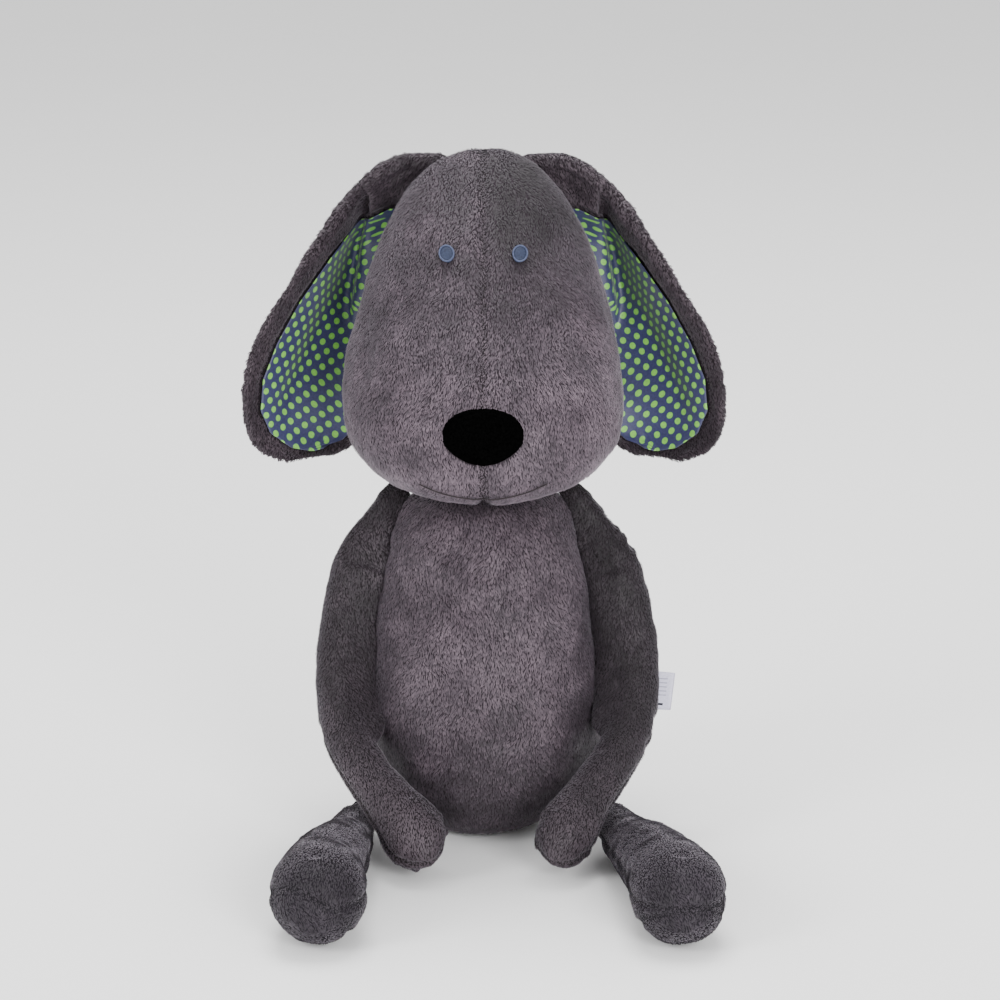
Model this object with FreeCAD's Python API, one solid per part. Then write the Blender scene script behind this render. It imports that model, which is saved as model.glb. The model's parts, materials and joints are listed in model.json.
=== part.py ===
"""Sitting plush dog: sewn skins over fibre filling, with floppy limbs, lined ears and a weighted seat.

Millimetres, +Z up, the dog faces -Y, and "left" is the dog's own left, at +X.
Everything is modelled about the body's own axis, and moved at the end so that the origin is the
bottom centre of the whole toy.
"""

import FreeCAD
import Part
import math
import os

V = FreeCAD.Vector

# ---- driving dimensions, mm ------------------------------------------------------------------
SKIN = 1.6            # short-pile plush with its knitted backing
GAP = 0.4             # running gap between bodies that move past each other
SEAM_Y = 4.0          # side seams of the body lie this far behind its axis
HEAD_SEAM_Y = 8.0     # seam between the face and the back of the head

# Body stations: height, half width, half depth.
BODY = [(0, 24, 22), (2.5, 33, 30), (8, 41, 37), (16, 48, 43), (28, 55, 49), (45, 60, 54), (70, 61, 56),
        (100, 57.5, 52.5), (130, 52.5, 46.5), (150, 48, 41), (163, 43.5, 35.5), (171, 38, 31), (175.5, 32, 26.5),
        (178, 23, 20)]

# Head stations: height, half width, front (-Y), back (+Y).
HEAD = [(184.5, 22, -64, -10), (188, 42, -75, 12), (195, 55.5, -84, 26), (205, 64.5, -89.5, 36),
        (221, 69.5, -92, 45), (240, 69, -87, 50), (260, 65, -76, 51), (280, 59.5, -63, 49),
        (303, 52, -47, 43), (320, 43.5, -34, 35), (335, 31.5, -21, 26), (344, 19, -9, 17), (348, 8, -1, 9)]

NECK_PIVOT = V(0, 0, 204)      # the head turns and nods about this point
NECK_R = 30.0                  # ball of stuffing that fills the neck
NECK_FOOT_Z = 178.4            # where the neck meets the body's top

NOSE_Z, NOSE_W, NOSE_H = 224.5, 39.0, 27.0
EYE_X, EYE_Z, EYE_R = 17.2, 305.0, 3.3
MOUTH_X, MOUTH_END_Z, MOUTH_MID_Z = 30.0, 197.0, 191.5
TRIM = 0.6                     # how far embroidery stands off the face

# Ear stations: height, inner x, outer x, how far the outer edge lies behind the body's axis, cup depth.
EAR = [(339, 20, 39, 24, 1.5), (332, 24, 54, 22, 4), (318, 32, 68, 18, 9), (300, 40, 82, 12, 15),
       (275, 46, 99, 5, 17), (250, 48, 114, 1, 15), (228, 50, 119, 0, 12), (209, 56, 118.5, 1, 9),
       (198.5, 62, 114, 2, 7), (192.5, 70, 106, 4, 4.5), (189, 78, 97, 6, 3)]
EAR_BEHIND_HEAD = 4.8          # gap between the ear's lining and the head
EAR_LAYERS_APART = 0.9         # stitching and seam allowance between the ear's two cloths
EAR_FRONT_Y = 14.0             # the ear's inner edge never comes further forward than this
EAR_PLUSH, EAR_LINING = 2.0, 0.8
EAR_RIM = 6.5                  # plush border that shows round the lining
EAR_HINGE = (20.5, 26.0, 336.5)

# Limbs: the centre line and, at the same stations, half width and half thickness.
SHOULDER = V(43.5, 0, 177)
ARM_LINE = [(50, -1, 171), (57, -1, 160), (65.5, -2, 144), (71.5, -4, 123), (75, -8, 102), (76, -20, 78),
            (72, -37, 59), (61, -55, 44.5), (48, -71, 31), (39, -83, 20.5)]
ARM_HALF = [(6, 4.5), (8.5, 7.5), (12, 11), (13.5, 13), (14, 13.6), (14, 13.4), (13.5, 13), (12.5, 12.5),
            (14.5, 13.5), (17, 15)]
# The dog's right arm hangs a little closer in, is a little fuller, and ends nearer the middle.
ARM_SIDE = {"left": (0.0, 0.0, 1.0), "right": (-3.0, -6.5, 1.07)}

HIP = V(59.5, -7.5, 12)
LEG_LINE = [(60.5, -16, 12), (63, -26, 12), (67.5, -46, 12), (74, -75, 14.4), (80.5, -104, 18.4),
            (87.5, -135, 21.2), (92, -163, 23.2)]
LEG_HALF = [(6, 6), (9, 9), (12, 12), (14.6, 14.8), (17.4, 18.8), (20.4, 21.4), (23.2, 23.4)]
GATHER_R = 6.0                 # sewn-up gather that each limb hangs from
# How far each foot swings out from the left one's place, and how its sole faces (x, y, z of the normal).
LEG_SIDE = {"left": (0.0, V(0.08, -0.50, -0.86)), "right": (-15.0, V(-0.42, -0.62, -0.66))}
SOLE_DEPTH = {"left": 13.0, "right": 15.0}

TAIL_PIVOT = V(0, 55, 30)
TAIL_LINE = [(0, 59, 31), (0, 65, 34), (0, 72, 40), (0, 76, 49)]
TAIL_HALF = [(6, 6), (7.5, 7.5), (8, 8), (7.5, 7.5)]

LABEL_ROOT_X = 62.0            # where the label leaves the left side seam
LABEL_Z, LABEL_W, LABEL_L, LABEL_T = 70.5, 20.0, 33.0, 0.5

RING_POINTS = 16
CAP_STEPS = [(0.42, 0.91), (0.74, 0.67), (0.93, 0.37)]   # along the cap, and share of the radius left


# ---- helpers ---------------------------------------------------------------------------------
def blend_rings(rings):
    """A solid whose side runs smoothly through elliptical rings, with flat ends.

    A ring is its centre, two half axes' lengths and the unit vectors they lie along."""
    turn = 2 * math.pi / RING_POINTS
    bulge = 6 / (4 + 2 * math.cos(turn))          # puts the curve, not its poles, on the ellipse
    loops = []
    for centre, half_u, half_v, u, v in rings:
        loops.append([centre + u * (half_u * bulge * math.cos(k * turn)) +
                      v * (half_v * bulge * math.sin(k * turn)) for k in range(RING_POINTS)])
    places = [0.0]
    for near, far in zip(loops, loops[1:]):
        places.append(places[-1] + max((b - a).Length for a, b in zip(near, far)))
    poles = []
    for k in range(RING_POINTS):
        column = Part.BSplineCurve()
        column.interpolate(Points=[loop[k] for loop in loops], Parameters=places)
        poles.append(column.getPoles())
    surface = Part.BSplineSurface()
    surface.buildFromPolesMultsKnots(poles, [1] * (RING_POINTS + 1), column.getMultiplicities(),
                                     list(range(RING_POINTS + 1)), column.getKnots(), True, False, 3, 3)
    side = surface.toShape()
    ends = [Part.Face(Part.Wire([edge])) for edge in side.Edges if edge.isClosed()]
    shell = Part.Shell([side] + ends)
    shell.sewShape()
    solid = Part.Solid(shell)
    if solid.Volume < 0:
        solid.reverse()
    return solid


def stack(stations, inset=0.0):
    """A solid through level rings: (z, half x, half y, centre y). inset makes it thinner all round."""
    low, high = stations[0][0], stations[-1][0]
    squeeze = (high - low - 2 * inset) / (high - low)
    rings = []
    for z, half_x, half_y, centre_y in stations:
        level = low + inset + (z - low) * squeeze
        rings.append((V(0, centre_y, level), half_x - inset, half_y - inset, V(1, 0, 0), V(0, 1, 0)))
    return blend_rings(rings)


def body_solid(inset=0.0):
    return stack([(z, half_x, half_y, 0.0) for z, half_x, half_y in BODY], inset)


def head_solid(inset=0.0):
    return stack([(z, half_x, (back - front) / 2, (back + front) / 2) for z, half_x, front, back in HEAD],
                 inset)


def head_back_y(x, z):
    """Where the back of the head is, at this height and distance from the middle."""
    for low, high in zip(HEAD, HEAD[1:]):
        if low[0] <= z <= high[0]:
            share = (z - low[0]) / (high[0] - low[0])
            half_x, front, back = (a + (b - a) * share for a, b in zip(low[1:], high[1:]))
            across = max(0.0, 1 - (x / half_x) ** 2)
            return (front + back) / 2 + (back - front) / 2 * math.sqrt(across)
    return 0.0


def block(x0, x1, y0, y1, z0, z1):
    return Part.makeBox(x1 - x0, y1 - y0, z1 - z0, V(x0, y0, z0))


BIG = 400.0
LEFT_HALF = block(0, BIG, -BIG, BIG, -BIG, BIG)
RIGHT_HALF = block(-BIG, 0, -BIG, BIG, -BIG, BIG)


def front_of(y):
    return block(-BIG, BIG, -BIG, y, -BIG, BIG)


def limb_stations(line, half, away_from, inset=0.0):
    """Stations down a limb: centre, half width, half thickness, width axis, thickness axis.

    The thickness axis points away from the point away_from(centre), and the last stations round off
    the tip."""
    points = [V(*p) for p in line]
    curve = Part.BSplineCurve()
    curve.interpolate(Points=points)
    parameters = [curve.parameter(p) for p in points]
    stations = []

    def add(centre, tangent, half_w, half_t):
        outward = centre - away_from(centre)
        thick = (outward - tangent * outward.dot(tangent)).normalize()
        wide = tangent.cross(thick).normalize()
        stations.append((centre, half_w, half_t, wide, thick))

    for parameter, (half_w, half_t) in zip(parameters, half):
        centre, tangent = curve.value(parameter), V(*curve.tangent(parameter)[0]).normalize()
        if not stations and inset:
            centre = centre + tangent * inset
        add(centre, tangent, half_w - inset, half_t - inset)
    half_w, half_t = half[-1]
    reach = (half_w + half_t) / 2
    for forward, left in CAP_STEPS:
        add(centre + tangent * (forward * (reach - inset)), tangent, (half_w - inset) * left,
            (half_t - inset) * left)
    return stations


def before(line, start):
    """The space in front of and above a limb's centre line, seen from the side, from start onwards."""
    rise = (line[-1][2] - line[-2][2]) / (line[-1][1] - line[-2][1])
    end = (-BIG, line[-1][2] + rise * (-BIG - line[-1][1]))
    profile = [start] + [(y, z) for x, y, z in line] + [end, (-BIG, BIG)]
    if start[1] < BIG:
        profile.append((start[0], BIG))
    corners = [V(-BIG, y, z) for y, z in profile]
    return Part.Face(Part.makePolygon(corners + corners[:1])).extrude(V(2 * BIG, 0, 0))


def mirrored(shape):
    return shape.mirror(V(0, 0, 0), V(1, 0, 0))


def ball(centre, radius):
    return Part.makeSphere(radius, centre)


# ---- the toy's pieces ------------------------------------------------------------------------
def make_body():
    """Front panel, two back panels with a centre seam, oval seat, filling and weighted pouch."""
    outer, inner = body_solid(), body_solid(SKIN)
    wall = outer.cut(inner)
    seat_space = block(-BIG, BIG, -BIG, BIG, -BIG, SKIN)
    seat = wall.common(seat_space)
    wall = wall.cut(seat_space)
    front = wall.common(front_of(SEAM_Y))
    back = wall.cut(front_of(SEAM_Y))
    pouch_low, pouch_high = SKIN + 5, 48
    middle = (pouch_low + pouch_high) / 2
    pouch_rings = [(pouch_low, 22, 20, 0), (pouch_low + 7, 37, 32, 0), (middle, 45, 39, 0),
                   (pouch_high - 7, 40, 34, 0), (pouch_high, 20, 17, 0)]
    pouch, pellets = stack(pouch_rings), stack(pouch_rings, 0.6)
    return {
        "belly_panel": front,
        "back_left_panel": back.common(LEFT_HALF),
        "back_right_panel": back.common(RIGHT_HALF),
        "seat_panel": seat,
        "body_filling": inner.cut(pouch),
        "pellet_pouch": pouch.cut(pellets),
        "pellet_weights": pellets,
    }


def make_neck():
    """A short stuffed neck: a ball with a flat foot on the body's top."""
    above = block(-BIG, BIG, -BIG, BIG, NECK_FOOT_Z, BIG)
    outer = ball(NECK_PIVOT, NECK_R).common(above)
    inner = ball(NECK_PIVOT, NECK_R - SKIN).common(above)
    return {"neck_sleeve": outer.cut(inner), "neck_filling": inner}


def mouth_space():
    """A thin curved band, as wide as the stitched smile, seen from the front."""
    half = 0.6
    top = Part.Arc(V(-MOUTH_X, 0, MOUTH_END_Z + half), V(0, 0, MOUTH_MID_Z + half),
                   V(MOUTH_X, 0, MOUTH_END_Z + half)).toShape()
    low = Part.Arc(V(-MOUTH_X, 0, MOUTH_END_Z - half), V(0, 0, MOUTH_MID_Z - half),
                   V(MOUTH_X, 0, MOUTH_END_Z - half)).toShape()
    ends = [Part.makeLine(V(s * MOUTH_X, 0, MOUTH_END_Z - half), V(s * MOUTH_X, 0, MOUTH_END_Z + half))
            for s in (-1, 1)]
    face = Part.Face(Part.Wire(Part.__sortEdges__([top, low] + ends)))
    return face.extrude(V(0, -150, 0))


def make_head():
    """Two face panels with a centre seam, back panel, nose, eyes, smile and filling."""
    outer, inner, proud = head_solid(), head_solid(SKIN), head_solid(-TRIM)
    socket = ball(NECK_PIVOT, NECK_R + GAP)
    wall = outer.cut(inner).cut(socket)
    oval = Part.Ellipse(V(0, 0, 0), NOSE_W / 2, NOSE_H / 2).toShape()
    nose_space = Part.Face(Part.Wire([oval])).extrude(V(0, 0, 150))
    nose_space.rotate(V(0, 0, 0), V(1, 0, 0), 90)
    nose_space.translate(V(0, 0, NOSE_Z))
    face = wall.common(front_of(HEAD_SEAM_Y))
    panels = face.cut(nose_space)
    skin_proud = proud.cut(outer)
    eye = skin_proud.common(Part.makeCylinder(EYE_R, 150, V(EYE_X, 0, EYE_Z), V(0, -1, 0)))
    return {
        "face_left_panel": panels.common(LEFT_HALF),
        "face_right_panel": panels.common(RIGHT_HALF),
        "head_back_panel": wall.cut(front_of(HEAD_SEAM_Y)),
        "nose_patch": face.common(nose_space),
        "eye_left": eye,
        "eye_right": mirrored(eye),
        "mouth_stitch": skin_proud.common(mouth_space()),
        "head_filling": inner.cut(socket),
    }


def ear_layer(inset, near, far):
    """One layer of the cupped ear, from near to far in front of its back face, trimmed by inset."""
    wires = []
    low, high = EAR[-1][0] + inset, EAR[0][0] - inset
    scale = (high - low) / (EAR[0][0] - EAR[-1][0])
    for z, inner_x, outer_x, outer_y, cup in EAR:
        level = low + (z - EAR[-1][0]) * scale
        back = max(head_back_y(inner_x, z), EAR_FRONT_Y)
        behind = back + EAR_BEHIND_HEAD + EAR_PLUSH + EAR_LAYERS_APART + EAR_LINING
        span = outer_x - inner_x
        left, right = min(0.4, inset / span), max(0.6, 1 - inset / span)
        edges, corners = [], []
        for shift in (near, far):
            points = []
            for k in range(7):
                share = left + (right - left) * k / 6
                y = behind + (outer_y - behind) * share + cup * math.sin(math.pi * share)
                points.append(V(inner_x + span * share, y - shift, level))
            curve = Part.BSplineCurve()
            curve.interpolate(Points=points)
            edges.append(curve.toShape())
            corners.append((points[0], points[-1]))
        ends = [Part.makeLine(corners[0][k], corners[1][k]) for k in (0, 1)]
        wires.append(Part.Wire(Part.__sortEdges__([edges[0], ends[1], edges[1], ends[0]])))
    solid = Part.makeLoft(wires, True)
    if solid.Volume < 0:
        solid.reverse()
    return solid


def make_ear():
    """The left ear: plush back with a satin lining set into it."""
    lining_back = EAR_PLUSH + EAR_LAYERS_APART
    return {
        "plush": ear_layer(0.0, 0.0, EAR_PLUSH),
        "lining": ear_layer(EAR_RIM, lining_back, lining_back + EAR_LINING),
    }


def make_arm(side):
    """Front and back panel, and filling, of one arm, modelled on the left."""
    mid_x, hand_x, fuller = ARM_SIDE[side]
    count = len(ARM_LINE) - 1
    line = []
    for k, (x, y, z) in enumerate(ARM_LINE):
        share = k / count
        line.append((x + mid_x * math.sin(math.pi * min(1, share * 1.3)) + hand_x * share ** 3, y, z))
    half = [(w * fuller, t) for w, t in ARM_HALF]

    def body_axis(centre):
        return V(0, 0, centre.z)

    outer_stations = limb_stations(line, half, body_axis)
    outer, inner = blend_rings(outer_stations), blend_rings(limb_stations(line, half, body_axis, SKIN))
    wall, front = outer.cut(inner), before(line, (line[0][1], BIG))
    return {"front_panel": wall.common(front), "back_panel": wall.cut(front), "filling": inner}


def make_leg(side):
    """Top and bottom panel, sole and filling of one leg, modelled on the left. It lies on the floor."""
    swing, sole_normal = LEG_SIDE[side]
    count = len(LEG_LINE) - 1
    line = [(x + swing * (k / count) ** 1.5, y, z) for k, (x, y, z) in enumerate(LEG_LINE)]

    def under(centre):
        return V(centre.x, centre.y, -1000)

    floor = block(-BIG, BIG, -BIG, BIG, -BIG, 0)
    lining_floor = block(-BIG, BIG, -BIG, BIG, -BIG, SKIN)
    stations = limb_stations(line, LEG_HALF, under)
    outer = blend_rings(stations).cut(floor)
    inner = blend_rings(limb_stations(line, LEG_HALF, under, SKIN)).cut(lining_floor)
    wall, above = outer.cut(inner), before(line, (BIG, line[0][2]))
    normal = V(sole_normal).normalize()
    if side == "right":
        normal.x = -normal.x
    reach = max(v.Point.dot(normal) for v in outer.Vertexes)
    reach = max(reach, max(V(*p).dot(normal) for p in outer.tessellate(0.5)[0]))
    cutter = Part.makeBox(200, 200, 200, V(-100, -100, 0))
    cutter.Placement = FreeCAD.Placement(normal * (reach - SOLE_DEPTH[side]) + foot_shift(line, normal),
                                         FreeCAD.Rotation(V(0, 0, 1), normal))
    return {
        "sole": wall.common(cutter),
        "top_panel": wall.common(above).cut(cutter),
        "bottom_panel": wall.cut(above).cut(cutter),
        "filling": inner,
    }


def foot_shift(line, normal):
    """The foot's place within the plane that parts off its sole."""
    foot = V(*line[-1])
    return foot - normal * foot.dot(normal)


def make_tail():
    def under(centre):
        return V(centre.x, centre.y + 100, centre.z - 100)

    stations = limb_stations(TAIL_LINE, TAIL_HALF, under)
    outer, inner = blend_rings(stations), blend_rings(limb_stations(TAIL_LINE, TAIL_HALF, under, SKIN))
    return {"tail_skin": outer.cut(inner), "tail_filling": inner}


def make_label():
    """A care label folded in two, sewn into the left side seam and leaning down a little."""
    tape = block(0, LABEL_L, -LABEL_T, LABEL_T, -LABEL_W / 2, LABEL_W / 2)
    slot = block(-1, LABEL_L - LABEL_T, -LABEL_T * 0.2, LABEL_T * 0.2, -LABEL_W, LABEL_W)
    tape = tape.cut(slot)
    tape.rotate(V(0, 0, 0), V(0, 1, 0), 6)
    tape.translate(V(LABEL_ROOT_X + LABEL_W / 2 * 0.11, SEAM_Y, LABEL_Z))
    return {"care_label": tape}


def all_pieces():
    pieces = {}
    for made in (make_body(), make_neck(), make_head(), make_tail(), make_label()):
        pieces.update(made)
    ear = make_ear()
    for side, turn in (("left", lambda s: s), ("right", mirrored)):
        for name, shape in ear.items():
            pieces[f"ear_{side}_{name}"] = turn(shape)
        for name, shape in make_arm(side).items():
            pieces[f"arm_{side}_{name}"] = turn(shape)
        for name, shape in make_leg(side).items():
            pieces[f"leg_{side}_{name}"] = turn(shape)
        pieces[f"shoulder_{side}_gather"] = turn(ball(SHOULDER, GATHER_R))
        pieces[f"hip_{side}_gather"] = turn(ball(HIP, GATHER_R))
    return pieces


def row_origin(pieces):
    """The bottom centre of the whole toy, to a tenth of a millimetre."""
    points = [V(*p) for shape in pieces.values() for p in shape.tessellate(0.2)[0]]
    middle_x = (min(p.x for p in points) + max(p.x for p in points)) / 2
    middle_y = (min(p.y for p in points) + max(p.y for p in points)) / 2
    return V(round(middle_x, 1), round(middle_y, 1), 0)


def main():
    os.makedirs("parts", exist_ok=True)
    pieces = all_pieces()
    origin = row_origin(pieces)
    for name, shape in sorted(pieces.items()):
        shape.translate(-origin)
        shape.exportStep(f"parts/{name}.step")
        box = shape.BoundBox
        print(f"{name:24s} solids {len(shape.Solids)} valid {shape.isValid()} "
              f"volume {shape.Volume / 1000:8.2f} cm3 z {box.ZMin:6.1f} {box.ZMax:6.1f}")
    print("origin in the body's own frame:", origin)


if __name__ == "__main__":
    main()
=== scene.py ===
# %% [markdown]
# # Sitting plush dog
# A sewn soft toy: short-pile plush skins over fibre filling, satin-lined ears and a few embroidered details.
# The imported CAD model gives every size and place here. This script dresses it: each stuffed part gets a soft
# skin grown from its CAD solids, then a coat of short fibre tufts, and the trim is sewn on last.
import json
import math

import bpy
import numpy as np
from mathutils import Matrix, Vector, kdtree
from mathutils.bvhtree import BVHTree


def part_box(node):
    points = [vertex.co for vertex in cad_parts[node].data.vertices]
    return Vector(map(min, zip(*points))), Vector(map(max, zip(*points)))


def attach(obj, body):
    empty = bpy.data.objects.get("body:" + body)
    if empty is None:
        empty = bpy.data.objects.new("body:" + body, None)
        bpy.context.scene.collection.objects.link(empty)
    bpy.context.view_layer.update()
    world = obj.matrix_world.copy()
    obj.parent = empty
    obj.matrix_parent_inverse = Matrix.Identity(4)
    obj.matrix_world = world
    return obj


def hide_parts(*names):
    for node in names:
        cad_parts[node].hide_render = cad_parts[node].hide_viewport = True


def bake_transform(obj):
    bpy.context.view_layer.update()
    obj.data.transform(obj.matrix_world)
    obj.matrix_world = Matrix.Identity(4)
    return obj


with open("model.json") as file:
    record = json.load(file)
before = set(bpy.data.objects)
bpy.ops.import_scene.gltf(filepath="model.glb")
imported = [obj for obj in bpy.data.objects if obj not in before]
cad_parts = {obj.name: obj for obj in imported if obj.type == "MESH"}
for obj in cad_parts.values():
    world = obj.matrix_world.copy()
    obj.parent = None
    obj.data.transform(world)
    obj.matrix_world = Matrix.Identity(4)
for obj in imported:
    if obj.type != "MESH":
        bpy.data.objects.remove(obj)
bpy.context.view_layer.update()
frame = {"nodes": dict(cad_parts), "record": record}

MM = 0.001
nodes = frame["nodes"]
joints = {joint["name"]: joint for joint in frame["record"]["behaviour"]["joints"]}

# %% Sizes that the toy is sewn to, in millimetres
PILE_LENGTH = 2.3          # short brushed plush
PILE_WIDTH = 0.5           # one tuft, which is several fibres
PILE_LIFT = 0.23           # how far a tuft stands off the cloth, as a share of its length
PILE_PER_MM2 = 2.2         # tufts to a square millimetre
SKIN_UNDER = 0.9           # the cloth lies this far under the toy's outside, so that the pile reaches it
SEAM_WIDTH, SEAM_DEPTH = 1.7, 1.3
SOCKET_RADIUS = 33         # the hollow of the head that turns on the neck
COLLAR_SHARE = 0.93        # the neck's skin is this share of its CAD size, so that it stays inside the socket
EYE_DROP = 1.5             # the eyes are stitched this much lower than their CAD solids
SMILE_RAISE = 2.2          # and the smile this much higher
SIDES = {"left": 1, "right": -1}

# %% Small tools for meshes
def only(obj):
    """Selects one object and nothing else."""
    for other in bpy.context.selected_objects:
        other.select_set(False)
    obj.select_set(True)
    bpy.context.view_layer.objects.active = obj
    return obj


def place(name, data):
    """A new object in the scene that shows the given mesh, curve, light or camera."""
    made = bpy.data.objects.new(name, data)
    bpy.context.scene.collection.objects.link(made)
    return made


def apply_modifier(obj, kind, **settings):
    """Adds one modifier with its settings and applies it."""
    only(obj)
    modifier = obj.modifiers.new(kind.title(), kind)
    for key, value in settings.items():
        setattr(modifier, key, value)
    bpy.ops.object.modifier_apply(modifier=modifier.name)


def points_of(obj):
    flat = np.empty(len(obj.data.vertices) * 3)
    obj.data.vertices.foreach_get("co", flat)
    return flat.reshape(-1, 3)


def normals_of(obj):
    flat = np.empty(len(obj.data.vertices) * 3)
    obj.data.vertex_normals.foreach_get("vector", flat)
    return flat.reshape(-1, 3)


def put_points(obj, points):
    obj.data.vertices.foreach_set("co", points.astype(np.float32).ravel())
    obj.data.update()


def store(obj, name, values):
    """Keeps one number per vertex, for the materials to read."""
    attribute = obj.data.attributes.new(name, "FLOAT", "POINT")
    attribute.data.foreach_set("value", np.asarray(values, np.float32))


def join(parts, name):
    """One object made of copies of the given objects."""
    copies = [place(name, part.data.copy()) for part in parts]
    only(copies[0])
    for copy in copies:
        copy.select_set(True)
    if len(copies) > 1:
        bpy.ops.object.join()
    joined = bpy.context.view_layer.objects.active
    joined.name = joined.data.name = name
    joined.data.materials.clear()
    joined.data.transform(joined.matrix_world)
    joined.matrix_world.identity()
    return joined


def largest_piece(obj):
    """Drops the closed hollows inside, which a remesh leaves as loose pieces of their own."""
    name = obj.name
    only(obj)
    bpy.ops.object.mode_set(mode="EDIT")
    bpy.ops.mesh.select_all(action="SELECT")
    bpy.ops.mesh.separate(type="LOOSE")
    bpy.ops.object.mode_set(mode="OBJECT")
    found = sorted(bpy.context.selected_objects, key=lambda o: len(o.data.vertices))
    for scrap in found[:-1]:
        bpy.data.objects.remove(scrap)
    found[-1].name = found[-1].data.name = name
    return found[-1]


def tree_of(obj):
    return BVHTree.FromPolygons([v.co for v in obj.data.vertices], [p.vertices for p in obj.data.polygons])


def smooth(low, high, values):
    """0 below low, 1 above high, and a soft step between."""
    share = np.clip((values - low) / (high - low), 0, 1)
    return share * share * (3 - 2 * share)


def drift(points, wavelength, seed):
    """A smooth random field from -1 to 1 that changes over about one wavelength (millimetres)."""
    rng = np.random.default_rng(seed)
    total = np.zeros(len(points))
    for _ in range(14):
        way = rng.normal(size=3)
        way *= 2 * math.pi / (wavelength * MM) * rng.uniform(0.6, 1.3) / np.linalg.norm(way)
        total += np.cos(points @ way + rng.uniform(0, 2 * math.pi))
    return total / 3.7


# %% [markdown]
# ## Soft skins
# On the real toy each skin is cut from flat plush, sewn inside out along its panel edges, turned and stuffed.
# Growing it from the CAD panels keeps the toy's outline: the solids are fused by a voxel remesh, smoothed and
# refined, then the cloth is drawn in along each seam and swells between the seams as filling makes it do.

# %% Skin tools
def seam_distance(points, panels):
    """How far each point is from the nearest line where two panels meet."""
    away = np.array([[tree.find_nearest(Vector(p))[3] for p in points] for tree in map(tree_of, panels)])
    away.sort(axis=0)
    return away[1] - away[0]


def grow_skin(name, node_names, extra=(), voxel=4.0, rounds=2, soften=6):
    """A closed, evenly meshed skin round the given CAD solids and helper solids."""
    skin = join([nodes[n] for n in node_names] + list(extra), name)
    apply_modifier(skin, "REMESH", mode="VOXEL", voxel_size=voxel * MM, use_smooth_shade=True)
    skin = largest_piece(skin)
    apply_modifier(skin, "SMOOTH", factor=0.5, iterations=soften)
    if rounds:
        apply_modifier(skin, "SUBSURF", levels=rounds, render_levels=rounds)
    target = join([nodes[n] for n in node_names], name + "_guide")
    tree = tree_of(target)
    bpy.data.objects.remove(target)
    return skin, tree


def settle(skin, tree, panels, seed, swell=0.7, seam=SEAM_DEPTH, gap_limit=2.5, relax=0):
    """Lays the skin just under the CAD outside, evens it out over relax rounds, then draws it in at the seams
    and lets it swell between them."""
    points, normals = points_of(skin), normals_of(skin)
    nearest = [tree.find_nearest(Vector(p)) for p in points]
    reach = np.array([(np.array(hit[0]) - p) @ n for hit, p, n in zip(nearest, points, normals)])
    offset = np.clip(reach, -gap_limit * MM, gap_limit * MM)
    put_points(skin, points + normals * (offset - SKIN_UNDER * MM)[:, None])
    if relax:
        apply_modifier(skin, "SMOOTH", factor=0.5, iterations=relax)
    points, normals = points_of(skin), normals_of(skin)
    groove = np.zeros(len(points))
    if len(panels) > 1:
        groove = np.exp(-(seam_distance(points, [nodes[n] for n in panels]) / (SEAM_WIDTH * MM)) ** 2)
    puff = drift(points, 42, seed) * 0.6 + drift(points, 17, seed + 1) * 0.25
    points = points + normals * ((puff * swell * (1 - groove) - groove * seam) * MM)[:, None]
    put_points(skin, points)
    # The seam value also paints the cloth darker along each groove: painted shade.
    store(skin, "seam", groove)
    only(skin)
    bpy.ops.object.shade_smooth()
    return skin


def crease(skin, start, end, depth, width):
    """Presses a fold into the skin along the line from start to end (millimetres in the row frame), or raises
    a ridge where depth is negative."""
    a, b = np.array(start) * MM, np.array(end) * MM
    points, normals = points_of(skin), normals_of(skin)
    along = np.clip((points - a) @ (b - a) / ((b - a) @ (b - a)), 0, 1)
    apart = np.linalg.norm(points - a - along[:, None] * (b - a), axis=1)
    fade = np.sin(np.pi * np.clip(along, 0.02, 0.98))
    press = np.exp(-(apart / (width * MM)) ** 2) - 0.35 * np.exp(-(apart / (2.3 * width * MM)) ** 2)
    put_points(skin, points - normals * (press * fade * depth * MM)[:, None])


# %% [markdown]
# ## Pile
# Plush pile is short fibre knitted into the backing, which brushing lays down and gathers into tufts. Each
# tuft is a small leaf of two faces here, bent across its middle. Leaves near each other lean towards a shared
# tip, and the way they lie drifts slowly over the toy, so that the coat has the streaks and the brushed light
# and dark patches of real plush. It is mesh, like the skin under it.

# %% Pile tools
def lay_down(points, normals, along, seed):
    """The way the pile lies at each point: along the given way, turned a little by slow swirls."""
    swirl = np.stack([drift(points, 38, seed + k) for k in range(3)], 1) * 0.24
    fine = np.stack([drift(points, 7, seed + 5 + k) for k in range(3)], 1) * 0.16
    way = along + swirl + fine
    way -= normals * (way * normals).sum(1)[:, None]
    size = np.linalg.norm(way, axis=1)[:, None]
    return way / np.maximum(size, 1e-6)


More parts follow.
